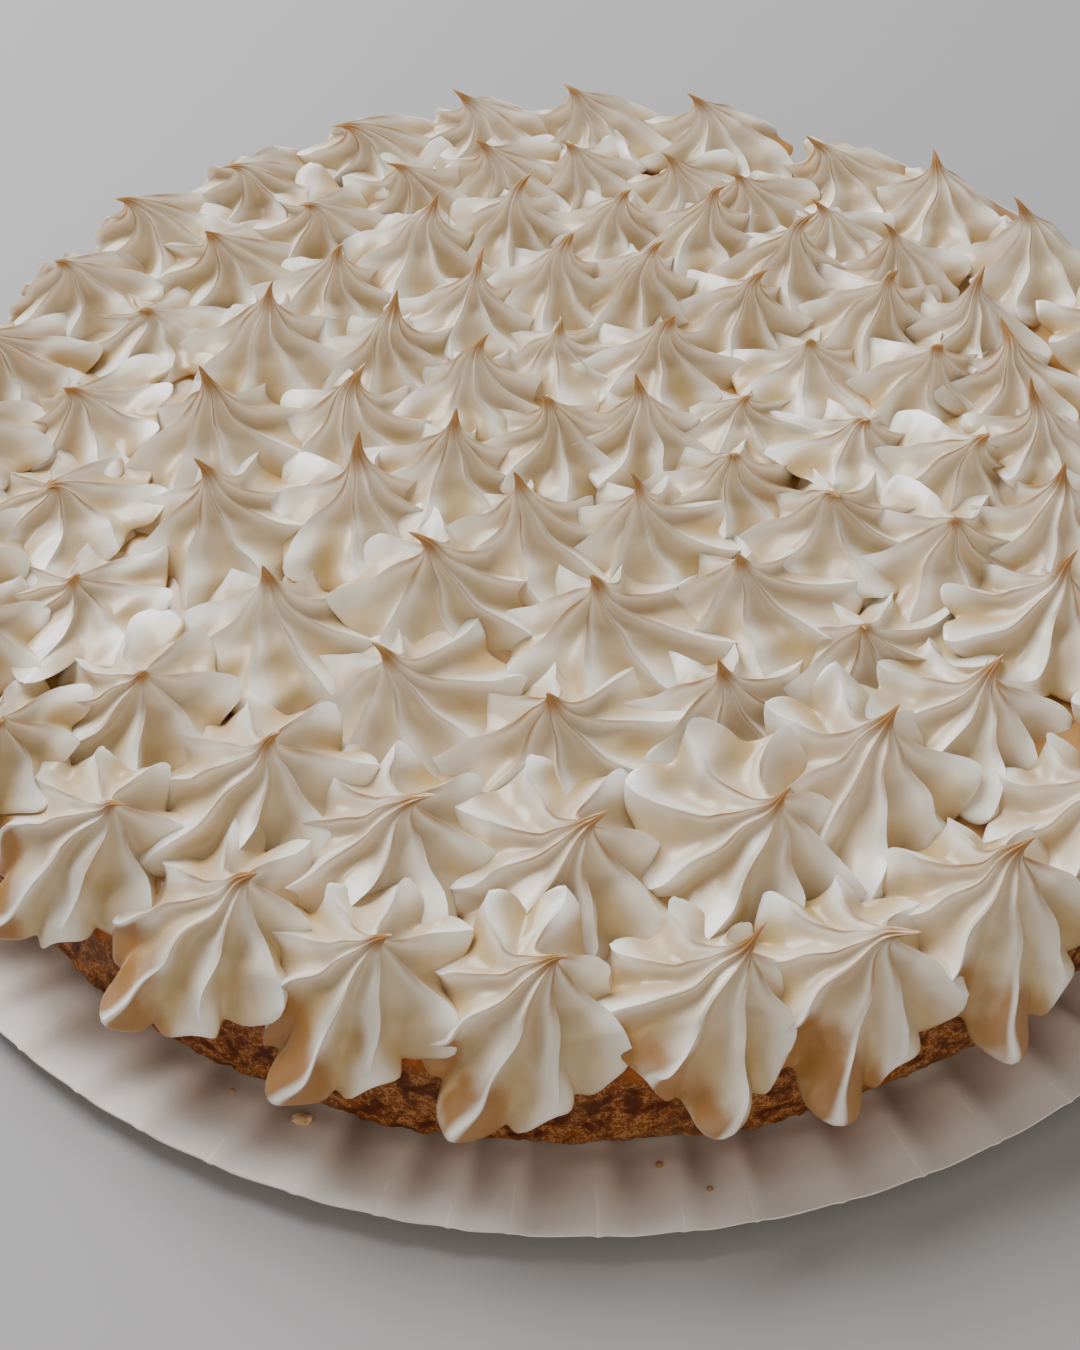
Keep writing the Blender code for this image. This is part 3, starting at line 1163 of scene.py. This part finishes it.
def limits(tree, value, low, high, out_low=0.0, out_high=1.0):
    """Stretches the part of a value between two limits to fill another range."""
    node = add_node(tree, "ShaderNodeMapRange", interpolation_type="SMOOTHSTEP")
    tree.links.new(value, node.inputs["Value"])
    node.inputs["From Min"].default_value = low
    node.inputs["From Max"].default_value = high
    node.inputs["To Min"].default_value = out_low
    node.inputs["To Max"].default_value = out_high
    return node.outputs["Result"]


# %% Mixing numbers and colours
def times(tree, first, second):
    return combine(tree, "MULTIPLY", first, second)


def combine(tree, operation, first, second, clamp=True):
    node = add_node(tree, "ShaderNodeMath", operation=operation, use_clamp=clamp)
    for value, socket in ((first, node.inputs[0]), (second, node.inputs[1])):
        if isinstance(value, (int, float)):
            socket.default_value = value
        else:
            tree.links.new(value, socket)
    return node.outputs["Value"]


def blend(tree, factor, first, second):
    """A colour between two colours. Each may be a value or another node's output."""
    node = add_node(tree, "ShaderNodeMix", data_type="RGBA")
    tree.links.new(factor, node.inputs["Factor"])
    for value, socket in ((first, node.inputs[6]), (second, node.inputs[7])):
        if isinstance(value, tuple):
            socket.default_value = (*value, 1.0)
        else:
            tree.links.new(value, socket)
    return node.outputs[2]


def bump(tree, shader, height, strength, distance):
    node = add_node(tree, "ShaderNodeBump")
    node.inputs["Strength"].default_value = strength
    node.inputs["Distance"].default_value = distance
    tree.links.new(height, node.inputs["Height"])
    tree.links.new(node.outputs["Normal"], shader.inputs["Normal"])


# %% [markdown]
# ## The meringue's finish
#
# Whipped egg white is nearly white and lets a little light in. A painted highlight makes it paler along the
# thin crests, and painted shade makes it warm and darker in the folds and the gaps at the foot, where light
# bounces between its walls. The flame turned the tips and the upper crests brown and the hanging lobes
# amber. The ridge, rise and browning numbers place each of these, and a thin wet coat gives the small
# glints.

# %% Colours of the meringue
MERINGUE_WHITE = (0.88, 0.845, 0.77)
# painted shade: warm and darker in the folds, for the shade and bounced light there
MERINGUE_HOLLOW_SHADE = (0.47, 0.305, 0.10)
# painted shade in the deep gaps at the foot of the kisses
MERINGUE_GAP_SHADE = (0.42, 0.19, 0.035)
# painted highlight: the paler colour along the crests, where thin meringue catches the light
MERINGUE_CREST_HIGHLIGHT = (0.95, 0.935, 0.90)
TIP_BROWN = (0.33, 0.15, 0.022)
TOAST = (0.34, 0.15, 0.024)


# %% The meringue's recipe
def make_meringue_material():
    material, tree, shader = new_material("toasted_meringue")
    ridge = attribute(tree, "ridge")
    rise = attribute(tree, "rise")
    browned_and_bed_shade = attribute(tree, "toast_and_bed_shade")
    patches = noise(tree, 90.0)
    # painted shade in the folds, stronger low on the kiss and away from the crests
    hollow_shade = times(tree, limits(tree, rise, 0.1, 0.8, 1.0, 0.55), limits(tree, ridge, 0.10, 0.84, 1.0, 0.0))
    hollow_shade = times(tree, hollow_shade, limits(tree, patches, 0.30, 0.65, 0.72, 0.98))
    colour = blend(tree, hollow_shade, MERINGUE_WHITE, MERINGUE_HOLLOW_SHADE)
    # painted shade at the foot, in the gaps between kisses
    gap_shade = times(tree, limits(tree, rise, 0.0, 0.14, 1.0, 0.0), limits(tree, ridge, 0.1, 0.7, 1.0, 0.0))
    colour = blend(tree, times(tree, gap_shade, 0.6), colour, MERINGUE_GAP_SHADE)
    # browning from the flame on the kisses, and painted shade on the bed
    toast_and_bed_shade = limits(tree, times(tree, browned_and_bed_shade, limits(tree, patches, 0.30, 0.65, 0.55, 1.0)), 0.06, 0.55)
    colour = blend(tree, times(tree, toast_and_bed_shade, 0.92), colour, TOAST)
    crest_line = times(tree, limits(tree, ridge, 0.58, 0.88), limits(tree, rise, 0.34, 0.68, 0.0, 1.0))
    crest_line = times(tree, crest_line, limits(tree, patches, 0.30, 0.60, 0.35, 1.0))
    # painted highlight along the crests
    colour = blend(tree, limits(tree, ridge, 0.74, 0.94, 0.0, 0.9), colour, MERINGUE_CREST_HIGHLIGHT)
    tip = limits(tree, rise, 0.72, 0.90)
    brown = combine(tree, "MAXIMUM", times(tree, crest_line, 0.9), times(tree, tip, 0.95))
    colour = blend(tree, brown, colour, TIP_BROWN)
    tree.links.new(colour, shader.inputs["Base Color"])
    shader.inputs["Roughness"].default_value = 0.36
    shader.inputs["Coat Weight"].default_value = 0.2
    shader.inputs["Coat Roughness"].default_value = 0.14
    shader.inputs["Subsurface Weight"].default_value = 0.12
    shader.inputs["Subsurface Radius"].default_value = (1.0, 0.6, 0.3)
    shader.inputs["Subsurface Scale"].default_value = 0.002
    bump(tree, shader, noise(tree, 420.0), 0.12, 0.0004)
    return material


meringue_material = make_meringue_material()
print(meringue_material.name, "has", len(meringue_material.node_tree.nodes), "nodes")

# %% [markdown]
# ## The pastry's finish
#
# The crust is dark brown with pale curly edges of flakes, floury patches near the foot, and a smoother
# orange lip, painted darker and redder for the shade of the meringue above it. A band of the finest noise,
# cut out near its middle value, draws the thin curly lines.

# %% Colours of the pastry
PASTRY_BROWN = (0.25, 0.072, 0.012)
PASTRY_DARK = (0.090, 0.017, 0.003)
PASTRY_VEIN = (0.58, 0.29, 0.12)
# the lip's own orange, darkened and reddened as painted shade from the meringue
PASTRY_LIP_AND_SHADE = (0.42, 0.115, 0.016)
PASTRY_FLOUR = (0.27, 0.15, 0.07)


# %% The pastry's recipe
def make_pastry_material():
    material, tree, shader = new_material("baked_pastry")
    lip = attribute(tree, "lip")
    low = attribute(tree, "low")
    broad = noise(tree, 55.0)
    lumps = noise(tree, 260.0, 4.0)
    fine = noise(tree, 560.0, 6.0, 0.65)
    colour = blend(tree, limits(tree, lumps, 0.34, 0.62), PASTRY_DARK, PASTRY_BROWN)
    vein = combine(tree, "ABSOLUTE", combine(tree, "SUBTRACT", fine, 0.52, clamp=False), 0.0)
    vein = times(tree, limits(tree, vein, 0.0, 0.040, 1.0, 0.0), limits(tree, lumps, 0.36, 0.56))
    colour = blend(tree, times(tree, vein, 0.9), colour, PASTRY_VEIN)
    flour = times(tree, limits(tree, broad, 0.42, 0.66), combine(tree, "MAXIMUM", low, 0.25))
    colour = blend(tree, times(tree, flour, 0.6), colour, PASTRY_FLOUR)
    # the orange lip, made darker and redder as painted shade under the meringue
    colour = blend(tree, times(tree, lip, limits(tree, lumps, 0.25, 0.6, 0.55, 1.0)), colour, PASTRY_LIP_AND_SHADE)
    tree.links.new(colour, shader.inputs["Base Color"])
    shader.inputs["Roughness"].default_value = 0.6
    shader.inputs["Specular IOR Level"].default_value = 0.25
    bump(tree, shader, combine(tree, "ADD", times(tree, lumps, 0.6), times(tree, fine, 0.4)), 0.8, 0.0014)
    return material


pastry_material = make_pastry_material()
print(pastry_material.name, "has", len(pastry_material.node_tree.nodes), "nodes")

# %% [markdown]
# ## The crumbs' finish
#
# A crumb shows the inside of the pastry, so it is paler than the crust. One number on each crumb says how
# pale it is.

# %% The crumbs' recipe
CRUMB_PALE = (0.66, 0.48, 0.28)
CRUMB_BROWN = (0.30, 0.12, 0.035)


def make_crumb_material():
    material, tree, shader = new_material("pastry_crumb")
    speckle = noise(tree, 900.0, 4.0)
    colour = blend(tree, attribute(tree, "pale"), CRUMB_BROWN, CRUMB_PALE)
    colour = blend(tree, limits(tree, speckle, 0.45, 0.7, 0.0, 0.45), colour, PASTRY_BROWN)
    tree.links.new(colour, shader.inputs["Base Color"])
    shader.inputs["Roughness"].default_value = 0.7
    shader.inputs["Specular IOR Level"].default_value = 0.25
    bump(tree, shader, speckle, 0.5, 0.0004)
    return material


crumb_material = make_crumb_material()
print(crumb_material.name, "has", len(crumb_material.node_tree.nodes), "nodes")

# %% [markdown]
# ## The paper's finish
#
# The paper is off-white and matte, brighter towards its edge. Painted shade darkens the troughs beside
# the crust, and each sharp fold shows as a short bright stroke near the edge.

# %% Colours of the paper
PAPER_WHITE = (0.88, 0.84, 0.83)
PAPER_DULL = (0.70, 0.61, 0.56)
# painted shade in the troughs beside the crust
PAPER_SHADE = (0.22, 0.135, 0.09)
PAPER_CREASE = (1.0, 0.99, 0.98)


# %% The paper's recipe
def make_paper_material():
    material, tree, shader = new_material("baking_paper")
    patches = noise(tree, 60.0)
    edge = combine(tree, "ADD", attribute(tree, "outer"), limits(tree, patches, 0.35, 0.7, 0.0, 0.35))
    colour = blend(tree, edge, PAPER_DULL, PAPER_WHITE)
    # painted shade in the troughs beside the crust
    trough_shade = times(tree, attribute(tree, "hollow_shade"), limits(tree, patches, 0.25, 0.7, 1.0, 0.6))
    colour = blend(tree, times(tree, trough_shade, 0.9), colour, PAPER_SHADE)
    along = combine(tree, "FRACT", attribute(tree, "flute_turn"), 0.0)
    off_crease = combine(tree, "ABSOLUTE", combine(tree, "SUBTRACT", along, PLEAT, clamp=False), 0.0)
    crease = times(tree, limits(tree, off_crease, 0.008, 0.024, 1.0, 0.0), attribute(tree, "outer"))
    crease = times(tree, crease, limits(tree, noise(tree, 140.0), 0.48, 0.56))
    colour = blend(tree, times(tree, crease, 0.8), colour, PAPER_CREASE)
    tree.links.new(colour, shader.inputs["Base Color"])
    shader.inputs["Roughness"].default_value = 0.55
    wrinkles = combine(tree, "ADD", times(tree, noise(tree, 120.0, 4.0), 0.7), times(tree, crease, 0.3))
    bump(tree, shader, wrinkles, 0.25, 0.0010)
    return material


paper_material = make_paper_material()
print(paper_material.name, "has", len(paper_material.node_tree.nodes), "nodes")

# %% [markdown]
# ## A finish and a place for each piece
#
# Every piece gets its material and the body it rides on, and the imported solid it stands for is hidden.
# The pie has no moving parts, so all of them ride on one body. The crumbs stand for no solid.

# %% Finishing the meringue
def give_finish(piece, material):
    piece.data.materials.clear()
    piece.data.materials.append(material)


for piece in meringue_pieces:
    give_finish(piece, meringue_material)
    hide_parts("meringue")
    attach(piece, "root")
print("pieces of meringue:", len(meringue_pieces))

# %% Finishing the crumbs, the crust and the paper
give_finish(crumbs, crumb_material)
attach(crumbs, "root")
for piece, material, node, slot in (
    (shell, pastry_material, "crust", "crust"),
    (paper, paper_material, "paper_case", "paper"),
):
    give_finish(piece, material)
    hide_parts(node)
    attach(piece, "root")
print("and three more:", crumbs.name, shell.name, paper.name)

# %% [markdown]
# ## Floor, light and camera
#
# The pie stands on a plain pale floor. A large soft light from behind and to the left stands for a window,
# as the crests are bright on that side and the faces towards the camera are warm and darker. A weak warm
# light in front fills the shade.

# %% The floor
FLOOR_GREY = (0.335, 0.332, 0.345, 1)
FLOOR_BELOW = 0.0001

deselect_all()
bpy.ops.mesh.primitive_plane_add(size=6, location=(0, 0, -FLOOR_BELOW))
floor = bpy.context.active_object
floor.name = "floor"
floor_material, _, floor_shader = new_material("pale_floor")
floor_shader.inputs["Base Color"].default_value = FLOOR_GREY
floor_shader.inputs["Roughness"].default_value = 0.6
floor.data.materials.append(floor_material)
print("the floor is", floor.dimensions.x, "m wide")


# %% The lights
def area_light(name, place, size, power, colour):
    """A soft rectangular light that faces the middle of the pie."""
    lamp = bpy.data.lights.new(name, "AREA")
    lamp.shape = "RECTANGLE"
    lamp.size, lamp.size_y = size
    lamp.energy = power
    lamp.color = colour
    thing = bpy.data.objects.new(name, lamp)
    thing.location = place
    thing.rotation_euler = (-Vector(place)).to_track_quat("-Z", "Y").to_euler()
    bpy.context.scene.collection.objects.link(thing)


area_light("window", (-0.70, 1.02, 1.2), (1.3, 0.9), 54, (0.99, 0.99, 1.0))
area_light("room", (0.2, -1.3, 0.8), (1.8, 1.0), 7, (1.0, 0.87, 0.70))
print("lights:", [lamp.name for lamp in bpy.data.lights])

# %% Light from all round
ROOM_WARMTH = (1.0, 0.93, 0.83, 1)
ROOM_STRENGTH = 0.36

world = bpy.data.worlds.new("studio")
bpy.context.scene.world = world
world.use_nodes = True
background = world.node_tree.nodes["Background"]
background.inputs["Color"].default_value = ROOM_WARMTH
background.inputs["Strength"].default_value = ROOM_STRENGTH

# %% [markdown]
# ## The camera
#
# The camera was fitted to the crust and the paper, taken as circles with one centre. It looks down at a
# little more than half a right angle.

# %% The camera
CAMERA_PLACE = (-0.00719, -0.33209, 0.33877)
CAMERA_DOWN = 47.64
LENS = 58.67

camera_data = bpy.data.cameras.new("camera")
camera_data.lens = LENS
camera_data.sensor_width = 36
camera_data.sensor_fit = "AUTO"
camera_data.clip_start = 0.01
camera = bpy.data.objects.new("camera", camera_data)
camera.location = CAMERA_PLACE
camera.rotation_euler = (math.radians(90 - CAMERA_DOWN), 0, 0)
bpy.context.scene.collection.objects.link(camera)
bpy.context.scene.camera = camera
print("camera at", CAMERA_PLACE, "with a lens of", LENS, "mm")
